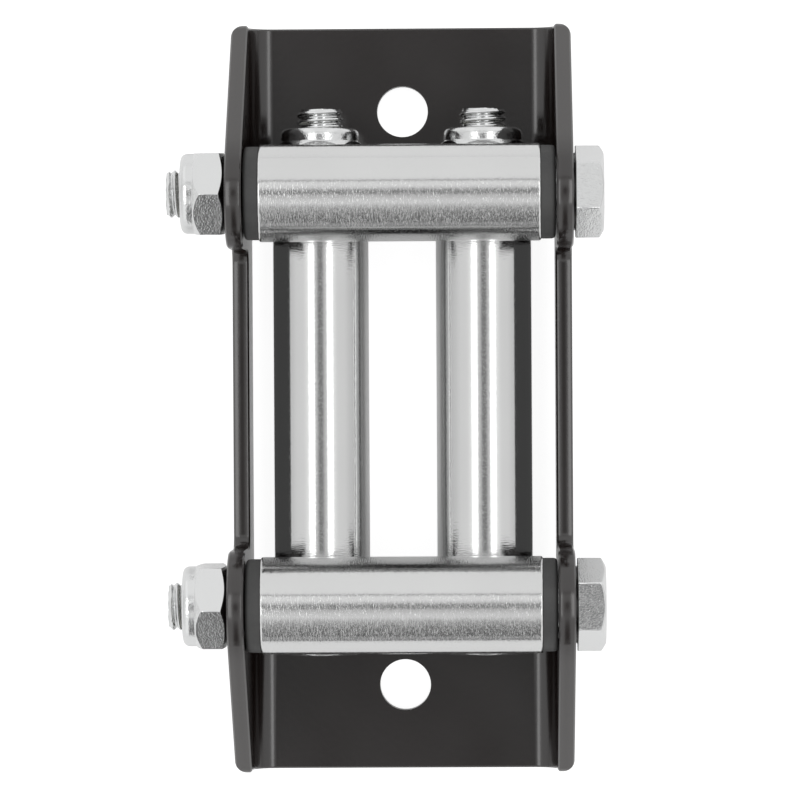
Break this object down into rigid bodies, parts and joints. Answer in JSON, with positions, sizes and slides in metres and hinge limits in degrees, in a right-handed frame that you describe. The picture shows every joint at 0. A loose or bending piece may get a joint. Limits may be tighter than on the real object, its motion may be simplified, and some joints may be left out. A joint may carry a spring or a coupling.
{
  "type": "roller fairlead",
  "caption": "Bolt-on roller fairlead: a bent steel bracket that guides a winch rope between a front pair and a rear pair of free-turning steel rollers.",
  "frame": {"origin": "centre of the two mounting holes, on the back face of the plate", "axes": "+Z out of the mounting face towards the rope, +Y along the plate through the two holes, +X across it towards the cross bolts' heads"},
  "size_m": [0.0913, 0.16, 0.0477],
  "materials": {
    "black_powder_coat": "satin black powder coat with a fine orange-peel texture",
    "zinc_roller": "bright zinc plate over a drawn tube, fine grain along the tube",
    "zinc_fastener": "bright zinc plate",
    "black_nylon": "moulded black nylon, matt",
    "natural_nylon": "natural nylon, slightly waxy"
  },
  "bodies": {
    "frame": {"bracket": "black_powder_coat", "upper_cross_bolt": "zinc_fastener", "upper_cross_lock_nut": "zinc_fastener", "upper_cross_nut_insert": "natural_nylon", "lower_cross_bolt": "zinc_fastener", "lower_cross_lock_nut": "zinc_fastener", "lower_cross_nut_insert": "natural_nylon", "left_long_bolt": "zinc_fastener", "left_long_lock_nut": "zinc_fastener", "left_long_nut_insert": "natural_nylon", "right_long_bolt": "zinc_fastener", "right_long_lock_nut": "zinc_fastener", "right_long_nut_insert": "natural_nylon"},
    "upper_cross_roller_body": {"upper_cross_roller": "zinc_roller", "upper_cross_bushing_head_end": "black_nylon", "upper_cross_bushing_nut_end": "black_nylon"},
    "lower_cross_roller_body": {"lower_cross_roller": "zinc_roller", "lower_cross_bushing_head_end": "black_nylon", "lower_cross_bushing_nut_end": "black_nylon"},
    "left_long_roller_body": {"left_long_roller": "zinc_roller", "left_long_bushing_head_end": "black_nylon", "left_long_bushing_nut_end": "black_nylon"},
    "right_long_roller_body": {"right_long_roller": "zinc_roller", "right_long_bushing_head_end": "black_nylon", "right_long_bushing_nut_end": "black_nylon"}
  },
  "joints": [
    {"name": "upper_cross_spin", "type": "hinge", "parent": "frame", "child": "upper_cross_roller_body", "pos_m": [0, 0.0432, 0.0362], "axis": [1, 0, 0], "continuous": true},
    {"name": "lower_cross_spin", "type": "hinge", "parent": "frame", "child": "lower_cross_roller_body", "pos_m": [0, -0.0432, 0.0362], "axis": [1, 0, 0], "continuous": true},
    {"name": "left_long_spin", "type": "hinge", "parent": "frame", "child": "left_long_roller_body", "pos_m": [-0.0174, 0, 0.0151], "axis": [0, 1, 0], "continuous": true},
    {"name": "right_long_spin", "type": "hinge", "parent": "frame", "child": "right_long_roller_body", "pos_m": [0.0174, 0, 0.0151], "axis": [0, 1, 0], "continuous": true}
  ]
}
